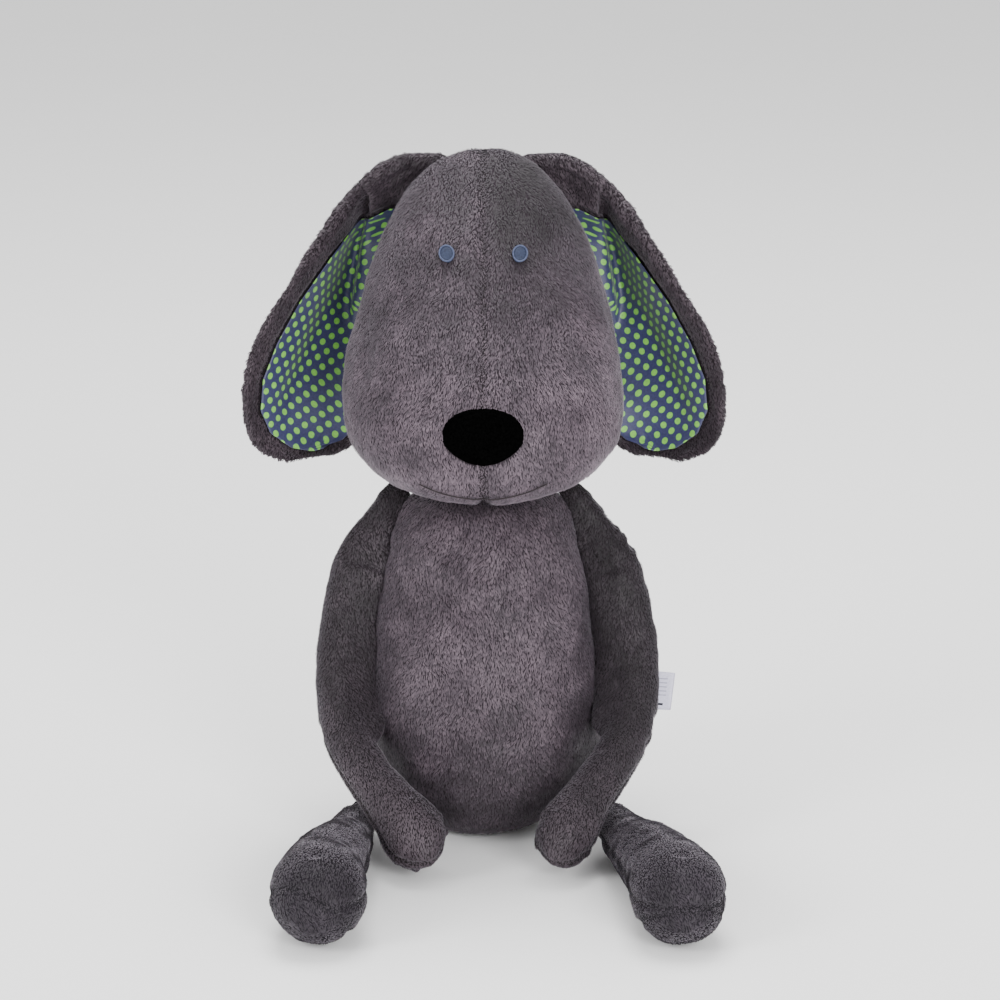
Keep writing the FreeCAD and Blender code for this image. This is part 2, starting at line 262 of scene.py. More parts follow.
def scatter(skin, per_mm2, rng, keep=None):
    """Random points on the skin, with the normal and seam value there."""
    mesh = skin.data
    mesh.calc_loop_triangles()
    triangles = np.empty(len(mesh.loop_triangles) * 3, int)
    mesh.loop_triangles.foreach_get("vertices", triangles)
    triangles = triangles.reshape(-1, 3)
    points, normals = points_of(skin), normals_of(skin)
    corners = points[triangles]
    areas = np.linalg.norm(np.cross(corners[:, 1] - corners[:, 0], corners[:, 2] - corners[:, 0]), axis=1) / 2
    if keep is not None:
        areas = areas * keep(points)[triangles].mean(1)
    count = int(areas.sum() / MM ** 2 * per_mm2)
    chosen = np.searchsorted(np.cumsum(areas), (np.arange(count) + rng.random(count)) / count * areas.sum())
    chosen = np.minimum(chosen, len(triangles) - 1)
    u, v = rng.random((2, count))
    flip = u + v > 1
    u[flip], v[flip] = 1 - u[flip], 1 - v[flip]
    share = np.stack([1 - u - v, u, v], 1)[:, :, None]
    where = (corners[chosen] * share).sum(1)
    facing = (normals[triangles[chosen]] * share).sum(1)
    facing /= np.linalg.norm(facing, axis=1)[:, None]
    seam = np.zeros(len(points))
    if "seam" in mesh.attributes:
        mesh.attributes["seam"].data.foreach_get("value", seam)
    return where, facing, (seam[triangles[chosen]] * share[:, :, 0]).sum(1)


def leaves(name, corners, tone_and_painted_light, material):
    """One mesh of leaves, from four corners each: root, left and right of the middle, and tip."""
    count = len(corners)
    first = np.arange(count) * 4
    loops = np.concatenate([np.stack([first, first + 1, first + 2], 1).ravel(),
                            np.stack([first + 2, first + 1, first + 3], 1).ravel()])
    mesh = bpy.data.meshes.new(name)
    mesh.vertices.add(4 * count)
    mesh.vertices.foreach_set("co", corners.astype(np.float32).ravel())
    mesh.loops.add(len(loops))
    mesh.loops.foreach_set("vertex_index", loops.astype(np.int32))
    mesh.polygons.add(2 * count)
    mesh.polygons.foreach_set("loop_start", (np.arange(2 * count) * 3).astype(np.int32))
    mesh.update(calc_edges=True)
    mesh.validate()
    made = place(name, mesh)
    store(made, "tone_and_painted_light", np.repeat(tone_and_painted_light, 4))
    # reach runs from 0 at the root to 1 at the tip; the pile material paints the roots darker as painted shade
    # between the tufts.
    store(made, "reach", np.tile([0.0, 0.45, 0.45, 1.0], count))
    only(made)
    bpy.ops.object.shade_smooth()
    mesh.materials.append(material)
    print(f"{name}: {count} tufts")
    return made


def coat(name, skin, material, seed, along=(0, 0, -1), keep=None, brushed=None, length=1.0, halves=False):
    """A coat of tufts over a skin, as a list of meshes: one, or a left and a right half.

    along is a way to lie, or a function of the points that gives one each. brushed says how much paler or
    deeper
    pile is painted at each point: painted light and shade where the toy faces the lamps or turns from them,
    and in part nap stroked towards the light or away from it."""
    rng = np.random.default_rng(seed)
    root, normal, seam = scatter(skin, PILE_PER_MM2, rng, keep)
    count = len(root)
    brush = along(root) if callable(along) else np.tile(np.array(along, float), (count, 1))
    way = lay_down(root, normal, brush, seed)
    reach = PILE_LENGTH * MM * length * rng.uniform(0.65, 1.2, count) * (1 - 0.45 * seam)
    lift = PILE_LIFT * (1 + 0.35 * drift(root, 9, seed + 20)) * rng.uniform(0.55, 1.4, count)
    lift = np.clip(lift, 0, 0.9)[:, None]
    tip = root + (way * np.sqrt(1 - lift ** 2) + normal * lift) * reach[:, None]
    centres = kdtree.KDTree(count // 7 + 1)
    for k in range(0, count, 7):
        centres.insert(Vector(root[k]), k)
    centres.balance()
    nearest = np.array([centres.find(Vector(p))[1] for p in root])
    tip += (tip[nearest] - tip) * rng.uniform(0.15, 0.45, count)[:, None]
    across = np.cross(normal, way)
    across /= np.linalg.norm(across, axis=1)[:, None]
    half = (PILE_WIDTH * MM / 2 * rng.uniform(0.7, 1.25, count))[:, None]
    root = root - normal * 0.15 * MM
    middle = root + (tip - root) * 0.45 + normal * (reach * 0.12)[:, None]
    corners = np.stack([root, middle + across * half, middle - across * half, tip], 1)
    tone_and_painted_light = 0.55 * rng.random(count)[nearest] + 0.45 * rng.random(count) + 0.16 * drift(root, 22, seed + 30)
    # Painted light and shade: brushed makes the tufts paler where the toy faces the lamps and deeper where it
    # turns away.
    if brushed:
        tone_and_painted_light += brushed(root)
    if not halves:
        return [leaves(name, corners, tone_and_painted_light, material)]
    left = root[:, 0] > 0
    return [leaves(f"{name}_{side}", corners[here], tone_and_painted_light[here], material)
            for side, here in (("left", left), ("right", ~left))]


# %% [markdown]
# ## Materials
# Colours are given as the sRGB values a swatch would have, and one function turns them linear.

# %% Material tools
def colour(value):
    """Linear RGBA from an sRGB hex value."""
    parts = [int(value[k:k + 2], 16) / 255 for k in (1, 3, 5)]
    return tuple([c / 12.92 if c <= 0.04045 else ((c + 0.055) / 1.055) ** 2.4 for c in parts] + [1.0])


def node(tree, kind, links=(), **settings):
    """Adds a shader node. Settings name its properties or input sockets; links are (socket, source) pairs."""
    made = tree.nodes.new("ShaderNode" + kind)
    for key, value in settings.items():
        if key in made.inputs:
            made.inputs[key].default_value = value
        else:
            setattr(made, key, value)
    for socket, source in links:
        tree.links.new(source, made.inputs[socket])
    return made


def new_material(name):
    material = bpy.data.materials.new(name)
    material.use_nodes = True
    tree = material.node_tree
    return material, tree, tree.nodes["Principled BSDF"]


def ramp(tree, factor, stops):
    """A colour ramp fed by factor; stops are (place, sRGB hex)."""
    made = node(tree, "ValToRGB", [("Fac", factor)])
    elements = made.color_ramp.elements
    while len(elements) < len(stops):
        elements.new(0.5)
    for element, (position, value) in zip(elements, stops):
        element.position, element.color = position, colour(value)
    return made.outputs["Color"]


def mix_colour(tree, factor, a, b, blend="MIX"):
    made = node(tree, "Mix", data_type="RGBA", blend_type=blend)
    for index, value in ((0, factor), (6, a), (7, b)):
        if hasattr(value, "is_linked"):
            tree.links.new(value, made.inputs[index])
        else:
            made.inputs[index].default_value = value
    return made.outputs[2]


def plush_pile(name, dark, body, light):
    """Brushed polyester pile: paler towards each tip, which paints shade at the roots, with slow brushed
    patches across the toy.
    """
    material, tree, shader = new_material(name)
    spot = node(tree, "TexCoord").outputs["Object"]
    patch = node(tree, "TexNoise", [("Vector", spot)], Scale=1 / 0.045, Detail=2.0, Roughness=0.5)
    tone_and_painted_light = node(tree, "Attribute", attribute_name="tone_and_painted_light").outputs["Fac"]
    reach = node(tree, "Attribute", attribute_name="reach").outputs["Fac"]
    own = node(tree, "Math", [(0, tone_and_painted_light)], operation="MULTIPLY_ADD")
    own.inputs[1].default_value, own.inputs[2].default_value = 0.40, 0.17
    # Painted shade: the roots, which the tufts shade, are painted darker than the tips.
    paler = node(tree, "Math", [(0, reach), (2, own.outputs[0])], operation="MULTIPLY_ADD")
    paler.inputs[1].default_value = 0.32
    coat_colour = ramp(tree, paler.outputs[0], [(0.12, dark), (0.5, body), (0.9, light)])
    shade = ramp(tree, patch.outputs["Fac"], [(0.32, "#C4BFC4"), (0.68, "#FFFFFF")])
    tree.links.new(mix_colour(tree, 1.0, coat_colour, shade, "MULTIPLY"), shader.inputs["Base Color"])
    shader.inputs["Roughness"].default_value = 0.62
    shader.inputs["Specular IOR Level"].default_value = 0.35
    shader.inputs["Sheen Weight"].default_value = 0.45
    shader.inputs["Sheen Roughness"].default_value = 0.45
    shader.inputs["Sheen Tint"].default_value = colour("#CFC6D2")
    return material


def plush_backing(name, dark, body):
    """The knitted cloth and pile roots seen between the tufts."""
    material, tree, shader = new_material(name)
    spot = node(tree, "TexCoord").outputs["Object"]
    roots = node(tree, "TexNoise", [("Vector", spot)], Scale=1 / 0.0016, Detail=3.0, Roughness=0.6)
    seam = node(tree, "Attribute", attribute_name="seam").outputs["Fac"]
    base = ramp(tree, roots.outputs["Fac"], [(0.3, dark), (0.7, body)])
    # Painted shade: where the seam value is high, the cloth takes the dark colour, along the seams' grooves
    # and beside the ear satin.
    tree.links.new(mix_colour(tree, seam, base, colour(dark)), shader.inputs["Base Color"])
    bump = node(tree, "Bump", [("Height", roots.outputs["Fac"])], Strength=0.6, Distance=0.0008)
    tree.links.new(bump.outputs["Normal"], shader.inputs["Normal"])
    shader.inputs["Roughness"].default_value = 0.85
    shader.inputs["Specular IOR Level"].default_value = 0.2
    return material


def shaded(value, share, blue=0):
    """A hex colour with its sRGB values scaled, and a little more blue."""
    parts = [int(value[k:k + 2], 16) * share for k in (1, 3, 5)]
    return "#{:02X}{:02X}{:02X}".format(*(round(min(255, p)) for p in (parts[0], parts[1], parts[2] + blue)))


# The arms, legs and ears are painted darker copies of the plush than the head and body, and the legs a little
# bluer:
# painted shade, for the nap of the arms and legs that lies away from the light.
PLUSH = ("#1D171B", "#483D46", "#82727D")
plush_materials = {}
PAINTED_SHADE_SHARES = {"head": (0.88, 0), "body": (0.85, 0), "arm": (0.64, 0), "leg": (0.51, 3), "ear": (0.76, 0)}
for part, (share, blue) in PAINTED_SHADE_SHARES.items():
    dark, middle, light = (shaded(tint, share, blue) for tint in PLUSH)
    plush_materials[part] = (plush_pile(f"plush_pile_polyester_{part}", dark, middle, light),
                             plush_backing(f"plush_backing_knit_{part}", dark, shaded(middle, 0.85)))


def dotted_satin(name, ground, dot):
    """Printed satin: lime dots on a square lattice turned across the cloth, over a fine satin weave."""
    pitch, radius, turn = 5.5 * MM, 1.6 * MM, math.radians(25)
    material, tree, shader = new_material(name)
    flat = node(tree, "UVMap", uv_map="cloth").outputs["UV"]
    turned = node(tree, "VectorRotate", [("Vector", flat)], rotation_type="Z_AXIS", Angle=turn)
    cell = node(tree, "VectorMath", [(0, turned.outputs[0])], operation="SCALE", Scale=1 / pitch)
    inside = node(tree, "VectorMath", [(0, cell.outputs[0])], operation="FRACTION")
    centred = node(tree, "VectorMath", [(0, inside.outputs[0])], operation="SUBTRACT")
    centred.inputs[1].default_value = (0.5, 0.5, 0.0)
    level = node(tree, "VectorMath", [(0, centred.outputs[0])], operation="MULTIPLY")
    level.inputs[1].default_value = (1.0, 1.0, 0.0)
    away = node(tree, "VectorMath", [(0, level.outputs[0])], operation="LENGTH").outputs["Value"]
    edge = node(tree, "MapRange", [("Value", away)], interpolation_type="SMOOTHSTEP")
    for socket, value in (("From Min", radius / pitch - 0.03), ("From Max", radius / pitch + 0.03),
                          ("To Min", 1.0), ("To Max", 0.0)):
        edge.inputs[socket].default_value = value
    weave = node(tree, "TexNoise", [("Vector", flat)], Scale=1 / 0.0012, Detail=2.0)
    ground_colour = ramp(tree, weave.outputs["Fac"], [(0.3, ground[0]), (0.7, ground[1])])
    dot_colour = ramp(tree, weave.outputs["Fac"], [(0.3, dot[0]), (0.7, dot[1])])
    printed = mix_colour(tree, edge.outputs["Result"], ground_colour, dot_colour)
    tree.links.new(printed, shader.inputs["Base Color"])
    bump = node(tree, "Bump", [("Height", weave.outputs["Fac"])], Strength=0.25, Distance=0.0002)
    tree.links.new(bump.outputs["Normal"], shader.inputs["Normal"])
    shader.inputs["Roughness"].default_value = 0.42
    shader.inputs["Specular IOR Level"].default_value = 0.5
    shader.inputs["Sheen Weight"].default_value = 0.15
    return material


def woven_cloth(name, low, high, thread=0.35, roughness=0.9):
    """Plain cloth or thread: a fine two-way weave with a little wear."""
    material, tree, shader = new_material(name)
    spot = node(tree, "TexCoord").outputs["Object"]
    grain = node(tree, "TexNoise", [("Vector", spot)], Scale=1 / (thread * 3 * MM), Detail=4.0)
    tree.links.new(ramp(tree, grain.outputs["Fac"], [(0.3, low), (0.72, high)]), shader.inputs["Base Color"])
    bump = node(tree, "Bump", [("Height", grain.outputs["Fac"])], Strength=0.5, Distance=thread * MM)
    tree.links.new(bump.outputs["Normal"], shader.inputs["Normal"])
    shader.inputs["Roughness"].default_value = roughness
    shader.inputs["Specular IOR Level"].default_value = 0.25 if roughness < 1 else 0.0
    return material


satin_material = dotted_satin("ear_lining_printed_satin", ("#2A2C4D", "#35385D"), ("#6AAC41", "#7EC251"))
nose_material = woven_cloth("nose_patch_brushed_felt", "#010101", "#050505", thread=0.3, roughness=1.0)
eye_material = woven_cloth("eye_satin_stitch_thread", "#1E2436", "#2C344B", thread=0.3, roughness=0.5)
eye_rim_material = woven_cloth("eye_rim_thread", "#363D55", "#4C546E", thread=0.3, roughness=0.55)
dark_thread_material = woven_cloth("seam_thread", "#1C1719", "#2A2326", thread=0.25, roughness=0.7)
label_material = woven_cloth("label_satin_ribbon", "#C9C6DC", "#DAD8EA", thread=0.25, roughness=0.45)
print_material = woven_cloth("label_printed_lines", "#8C8BA3", "#9C9BB2", thread=0.25, roughness=0.6)
black_print_material = woven_cloth("label_printed_bar", "#23222B", "#2E2D38", thread=0.25, roughness=0.6)

# %% Places read from the frame
neck = Vector(joints["head_turn"]["pos_m"])
axis_y = neck.y
nose_low, nose_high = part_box("nose_patch")
print("body axis at y =", round(axis_y / MM, 1), "mm; neck at z =", round(neck.z / MM), "mm")

# %% [markdown]
# ## Body
# An egg of four panels: one belly panel, two back panels with a centre seam, and an oval seat.

# %% Body
BODY_PANELS = ["belly_panel", "back_left_panel", "back_right_panel", "seat_panel"]
body, body_tree = grow_skin("body_plush", BODY_PANELS + ["body_filling"])
settle(body, body_tree, BODY_PANELS, seed=11, swell=1.1)
for side in SIDES.values():   # full shoulders, which leave no gap beside the neck
    crease(body, (side * 30, axis_y / MM, 182), (side * 43, axis_y / MM, 156), -3.5, 8.0)
pile, backing = plush_materials["body"]
body.data.materials.append(backing)


def painted_light_body(points):
    """Painted light over the chest and belly, painted shade low down and at the sides."""
    z = points[:, 2]
    sides = smooth(34 * MM, 54 * MM, np.abs(points[:, 0]))
    return 0.3 * smooth(40 * MM, 90 * MM, z) - 0.35 * (1 - smooth(20 * MM, 60 * MM, z)) - 0.35 * sides


for piece in [body] + coat("body_pile", body, pile, seed=12, brushed=painted_light_body, halves=True):
    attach(piece, "torso")
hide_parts(*BODY_PANELS, "body_filling", "pellet_pouch", "pellet_weights")

# %% [markdown]
# ## Neck
# A short stuffed roll between the body and the head, almost hidden by the chin.

# %% Neck
collar, _ = grow_skin("neck_plush", ["neck_sleeve", "neck_filling"], voxel=3, rounds=1)
collar_points = points_of(collar)
collar_away = collar_points - np.array(neck)
put_points(collar, np.array(neck) + collar_away * COLLAR_SHARE)
collar.data.materials.append(backing)
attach(collar, "neck")
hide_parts("neck_sleeve", "neck_filling")

# %% [markdown]
# ## Head
# Two face panels meet in a seam from the crown, over the nose, to the chin, and a back panel closes the head.
# A small dart shapes each cheek.

# %% Head
HEAD_PANELS = ["face_left_panel", "face_right_panel", "head_back_panel"]
head, head_tree = grow_skin("head_plush", HEAD_PANELS + ["head_filling", "nose_patch"])


def in_socket(points):
    """1 in the hollow that turns on the neck, 0 elsewhere."""
    return (np.linalg.norm(points - np.array(neck), axis=1) < SOCKET_RADIUS * MM).astype(float)


settle(head, head_tree, HEAD_PANELS, seed=21, swell=0.8, seam=1.1)
for side in SIDES.values():
    crease(head, (side * 66, axis_y / MM - 38, 223), (side * 58, axis_y / MM - 55, 220), 2.2, 2.6)
crease(head, (-62, axis_y / MM - 42, 262), (-56, axis_y / MM - 58, 240), 2.6, 9.0)
pile, backing = plush_materials["head"]
head.data.materials.append(backing)


def bare_head(points):
    """Where the head carries pile: not in the socket, nor under the nose patch and the stitching."""
    nose_x = points[:, 0] / ((nose_high[0] - nose_low[0]) / 2)
    nose_z = (points[:, 2] - (nose_low[2] + nose_high[2]) / 2) / ((nose_high[2] - nose_low[2]) / 2)
    on_nose = (nose_x ** 2 + nose_z ** 2 < 0.9) & (points[:, 1] < axis_y - 60 * MM)
    return 1.0 - np.maximum(in_socket(points), on_nose)


def nap_and_painted_light_head(points):
    """Paler over the snout and cheeks, deeper over the crown and most on its left: painted light and shade,
    and over the crown partly the brushed nap.
    """
    x, z = points[:, 0], points[:, 2]
    snout = 1 - smooth(225 * MM, 285 * MM, z)
    crown = smooth(285 * MM, 325 * MM, z)
    return 0.4 * snout - 0.15 - 1.0 * crown * smooth(-4 * MM, 12 * MM, x) + 0.25 * smooth(30 * MM, 60 * MM, x)


for piece in [head] + coat("head_pile", head, pile, 22, keep=bare_head, brushed=nap_and_painted_light_head, halves=True):
    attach(piece, "head")
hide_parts(*HEAD_PANELS, "head_filling")

# %% [markdown]
# ## Arms and legs
# Each limb is a tube of two panels, gathered where it hangs from the body. The skin covers the gather and the
# limb as one piece.

# %% Limb tools
def bridge(gather, limb, radius):
    """A ball that closes the gap between a gather and the root of its limb, so that one skin covers both."""
    low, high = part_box(gather)
    middle = (np.array(low) + np.array(high)) / 2
    points = points_of(nodes[limb])
    away = np.linalg.norm(points - middle, axis=1)
    root = points[np.argsort(away)[:max(8, len(points) // 40)]].mean(0)
    centre = middle + (root - middle) * 0.5
    bpy.ops.mesh.primitive_uv_sphere_add(segments=24, ring_count=12, radius=radius * MM, location=centre)
    ball = bpy.context.view_layer.objects.active
    ball.data.transform(ball.matrix_world)
    ball.matrix_world.identity()
    return ball, middle, root


def lean_on(skin, other, apart=0.5):
    """Presses the side of a limb that faces the body against it, over more of it near the shoulder."""
    tree = tree_of(other)
    points, normals = points_of(skin), normals_of(skin)
    hits = [tree.find_nearest(Vector(p)) for p in points]
    away = np.array([hit[3] for hit in hits])
    towards = (np.array([np.array(hit[0]) for hit in hits]) - points) / np.maximum(away, 1e-6)[:, None]
    facing = smooth(-0.1, 0.5, (normals * towards).sum(1))
    z = points[:, 2]
    reach = (8 + 10 * smooth(48 * MM, 66 * MM, z) + 10 * smooth(120 * MM, 170 * MM, z)) * MM
    near = 1 - smooth(0.5 * reach, reach, away)
    shift = np.maximum(away - apart * MM, 0) * facing * near
    put_points(skin, points + towards * shift[:, None])


def limb(name, part, panels, gather, parent, body_name, radius, seed, along, creases, seam, brushed=None):
    """Skin and coat of one arm or leg."""
    ball, middle, root = bridge(gather, f"{name}_filling", radius)
    node_names = [f"{name}_{p}" for p in panels]
    skin, tree = grow_skin(f"{name}_plush", node_names + [f"{name}_filling", gather], extra=[ball])
    bpy.data.objects.remove(ball)
    settle(skin, tree, node_names, seed, swell=0.6, seam=seam, gap_limit=1.5, relax=22)
    for start, end, depth, width in creases:
        crease(skin, start, end, depth, width)
    lean_on(skin, body)
    pile, backing = plush_materials[part]
    skin.data.materials.append(backing)
    for piece in [skin] + coat(f"{name}_pile", skin, pile, seed + 1, along, brushed=brushed, length=0.85):
        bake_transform(piece)
    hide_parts(*node_names, f"{name}_filling", gather)


# %% Arms
def down_the_arm(points):
    """Down at the shoulder, forward and down over the thigh."""
    forward = np.clip((120 * MM - points[:, 2]) / (80 * MM), 0, 1)
    return np.stack([-0.25 * forward * np.sign(points[:, 0]), -0.6 * forward, -np.ones(len(points))], 1)


def painted_light_arm(points):
    """Painted light on the hands, which lie in the light, and painted shade on the left arm."""
    hand = 1 - smooth(25 * MM, 75 * MM, points[:, 2])
    return hand * np.where(points[:, 0] < 0, 0.9, 0.7) - np.where(points[:, 0] < 0, 0.1, 0.35)


for side, sign in SIDES.items():
    y = axis_y / MM
    folds = [((sign * 84, y - 14, 84), (sign * 70, y - 24, 72), 1.6, 2.5),
             ((sign * 76, y - 50, 52), (sign * 56, y - 56, 58), 1.8, 2.5),
             ((sign * 60, y - 10, 166), (sign * 72, y - 12, 150), 1.4, 3.0)]
    limb(f"arm_{side}", "arm", ["front_panel", "back_panel"], f"shoulder_{side}_gather",
         "torso", f"arm_{side}", 10.0, 30 + 5 * sign, down_the_arm, folds, seam=0.8, brushed=painted_light_arm)

# %% Legs
def down_the_leg(points):
    """Along the leg towards the toes."""
    return np.tile([0.0, -1.0, -0.45], (len(points), 1))


for side, sign in SIDES.items():
    y = axis_y / MM
    folds = [((sign * 60, y - 84, 30), (sign * 92, y - 88, 26), 1.3, 3.2),
             ((sign * 66, y - 66, 26), (sign * 84, y - 70, 22), 1.2, 2.4)]
    limb(f"leg_{side}", "leg", ["top_panel", "bottom_panel", "sole"], f"hip_{side}_gather",
         f"hip_{side}", f"leg_{side}", 7.0, 60 + 5 * sign, down_the_leg, folds, seam=0.45)

# %% Tail
tail, tail_tree = grow_skin("tail_plush", ["tail_skin", "tail_filling"], voxel=2.5, rounds=1)
settle(tail, tail_tree, ["tail_skin"], 80, swell=0.4)
pile, backing = plush_materials["body"]
tail.data.materials.append(backing)
for piece in [tail] + coat("tail_pile", tail, pile, 81, along=(0, 0.8, 0.6)):
    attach(piece, "tail")
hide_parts("tail_skin", "tail_filling")

# %% [markdown]
# ## Ears
# Each ear is plush outside and printed satin inside, sewn round the edge and turned, so that the plush rolls
# over the rim. It is gathered at the crown, and folds once beside the head and once down its length.

# %% Ear tools, in millimetres: |x| and height in the row's frame
STEP_LINE = [(62, 311), (80, 268), (92, 243), (102, 221), (104, 200)]   # the cup's steep outer side
TUCK_LINE = [(59.5, 314), (68.5, 262)]                # edge of the strip that folds forward beside the head
SATIN_OUTER = [(47, 314), (61.5, 307), (76.5, 289.5), (91.5, 269), (103, 249), (110, 232), (111.5, 216),
               (107, 204), (97, 196), (87, 193.5)]  # where the satin meets the rim, from the top down
SATIN_FOOT = [(46, 216), (56, 206), (68, 198), (86, 193.5)]   # its lower inner corner
EAR_GATHERS = [((38, axis_y / MM + 28, 330), (66, axis_y / MM + 22, 313)),
               ((30, axis_y / MM + 24, 340), (52, axis_y / MM + 20, 326))]   # folds where the top is gathered


def line_x(z, line):
    """The line's x at each height."""
    heights = [p[1] for p in line[::-1]]
    return np.interp(z / MM, heights, [p[0] for p in line[::-1]]) * MM


def fold_ear(points):
    """How far the cloth moves back (+) or forward (-) at each point: the cup's steep side and the tuck."""
    x, z = np.abs(points[:, 0]), points[:, 2]
    step = smooth(-5 * MM, 5 * MM, x - line_x(z, STEP_LINE))
    in_reach = smooth(196 * MM, 232 * MM, z) * (1 - smooth(296 * MM, 316 * MM, z))
    tuck_x = line_x(z, TUCK_LINE)
    along = smooth(248 * MM, 272 * MM, z) * (1 - smooth(316 * MM, 332 * MM, z))
    tucked = smooth(0, 2 * MM, tuck_x - x) * along
    valley = np.exp(-((x - tuck_x - 3 * MM) / (5 * MM)) ** 2) * along
    return (4.5 * (1 - step) - 3.5 * step) * MM * in_reach - 8.5 * MM * tucked + 7 * MM * valley


def ear_satin(side):
    """The satin inside of one ear: a grid laid on the CAD lining, out to the satin's edge, and folded."""
    sign = SIDES[side]
    lining = nodes[f"ear_{side}_lining"]
    tree = tree_of(lining)
    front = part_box(f"ear_{side}_lining")[0][1]
    outline = points_of(lining)
    rows, columns = 100, 56
    levels = np.linspace(SATIN_FOOT[-1][1], SATIN_OUTER[0][1], rows) * MM
    points = np.empty((rows, columns, 3))
    for row, z in enumerate(levels):
        near = np.abs(outline[np.abs(outline[:, 2] - z) < 5 * MM][:, 0])
        inner = max(near.min() + 0.4 * MM if len(near) else 0.0, float(line_x(z, SATIN_FOOT)))
        if z > SATIN_FOOT[0][1] * MM:
            inner = near.min() + 0.4 * MM
        outer = float(line_x(z, SATIN_OUTER))
        for column in range(columns):
            x = inner + (outer - inner) * column / (columns - 1)
            hit = tree.ray_cast(Vector((sign * x, front - 0.05, z)), Vector((0, 1, 0)))[0]
            if hit is None:
                hit = tree.find_nearest(Vector((sign * x, front, z)))[0]
            points[row, column] = (sign * x, hit.y, z)
    for _ in range(6):
        points[1:-1, 1:-1, 1] = (points[1:-1, 1:-1, 1] + points[:-2, 1:-1, 1] + points[2:, 1:-1, 1]
                                 + points[1:-1, :-2, 1] + points[1:-1, 2:, 1]) / 5
    points[:, :, 1] += fold_ear(points.reshape(-1, 3)).reshape(rows, columns) - 0.35 * MM
    across = np.linalg.norm(np.diff(points, axis=1), axis=2)
    u = np.cumsum(across[:, ::-1], 1)[:, ::-1]
    u = np.abs(points[:, -1:, 0]) - np.concatenate([u, np.zeros((rows, 1))], 1)
    v = points[:, :, 2]
    index = np.arange(rows * columns).reshape(rows, columns)
    faces = np.stack([index[:-1, :-1], index[:-1, 1:], index[1:, 1:], index[1:, :-1]], -1).reshape(-1, 4)
    if sign < 0:
        faces = faces[:, ::-1]
    mesh = bpy.data.meshes.new(f"ear_{side}_satin")
    mesh.from_pydata(points.reshape(-1, 3).tolist(), [], faces.tolist())
    corners = np.empty(len(mesh.loops), int)
    mesh.loops.foreach_get("vertex_index", corners)
    layer = mesh.uv_layers.new(name="cloth")
    cloth = np.stack([u.ravel()[corners], v.ravel()[corners]], 1)
    layer.data.foreach_set("uv", cloth.astype(np.float32).ravel())
    satin = place(f"ear_{side}_satin", mesh)
    area = float(sum(face.area for face in mesh.polygons))
    satin.data.materials.append(satin_material)
    apply_modifier(satin, "SOLIDIFY", thickness=0.5 * MM, offset=-1)
    only(satin)
    bpy.ops.object.shade_smooth()
    return satin, (float(np.ptp(u)), float(np.ptp(v))), area


def ear_skin(side, satin_tree):
    """The plush outside of one ear, which puffs up round the satin and most at the gathered top."""
    sign = SIDES[side]
    skin, _ = grow_skin(f"ear_{side}_skin", [f"ear_{side}_plush"], voxel=1.25, rounds=0, soften=3)
    points, normals = points_of(skin), normals_of(skin)
    points[:, 1] += fold_ear(points)
    gap = np.array([satin_tree.find_nearest(Vector(p))[3] for p in points])
    rim = smooth(1.5 * MM, 6.0 * MM, gap)
    upper = smooth(250 * MM, 325 * MM, points[:, 2])
    swell = rim * (1.2 + 2.0 * upper) + 0.4 * drift(points, 24, 90 + sign) * rim * (0.4 + upper)
    put_points(skin, points + normals * (swell * MM)[:, None])
    # Painted shadow: the seam value darkens the cloth next to the satin, where the swelling rim shades it.
    store(skin, "seam", 1 - smooth(1.0 * MM, 3.0 * MM, gap))
    for start, end in EAR_GATHERS:
        crease(skin, (sign * start[0], start[1], start[2]), (sign * end[0], end[1], end[2]), 1.8, 2.2)
    only(skin)
    bpy.ops.object.shade_smooth()
    return skin


# %% Ears
for side, sign in SIDES.items():
    satin, flat, area = ear_satin(side)
    satin_tree = tree_of(satin)
    skin = ear_skin(side, satin_tree)

    def off_satin(points, tree=satin_tree, facing_back=normals_of(skin)[:, 1]):
        """0 where the satin covers the plush, 1 on the rim and the back."""
        apart = np.array([tree.find_nearest(Vector(p))[3] for p in points])
        return np.maximum(smooth(1.2 * MM, 2.0 * MM, apart), smooth(0.1, 0.4, facing_back))

    pile, backing = plush_materials["ear"]
    skin.data.materials.append(backing)
    outwards = (0.55 * sign, 0.0, -1.0)
    coats = coat(f"ear_{side}_pile", skin, pile, 95 + sign, outwards, keep=off_satin, length=0.9)
    for piece in [skin, satin] + coats:
        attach(piece, f"ear_{side}")
    print(f"ear_{side}_satin: flat {[round(f / MM) for f in flat]} mm, area {round(area / MM ** 2)} mm2")
    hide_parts(f"ear_{side}_plush")
    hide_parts(f"ear_{side}_lining")

# %% [markdown]
# ## Nose, eyes and smile
# The nose is an oval of brushed black felt, sewn over the end of the snout with its edge turned under. Each
# eye is a small disc of satin stitch with a raised rim. The smile is one seam just above the chin.

# %% Trim tools
head_surface = tree_of(head)


def on_head(x, z, proud):
    """The point of the head's front at this x and z, moved out by proud millimetres, and the normal there."""
    hit, normal, _, _ = head_surface.ray_cast(Vector((x, axis_y - 0.3, z)), Vector((0, 1, 0)))
    return np.array(hit + normal * proud * MM), np.array(normal)


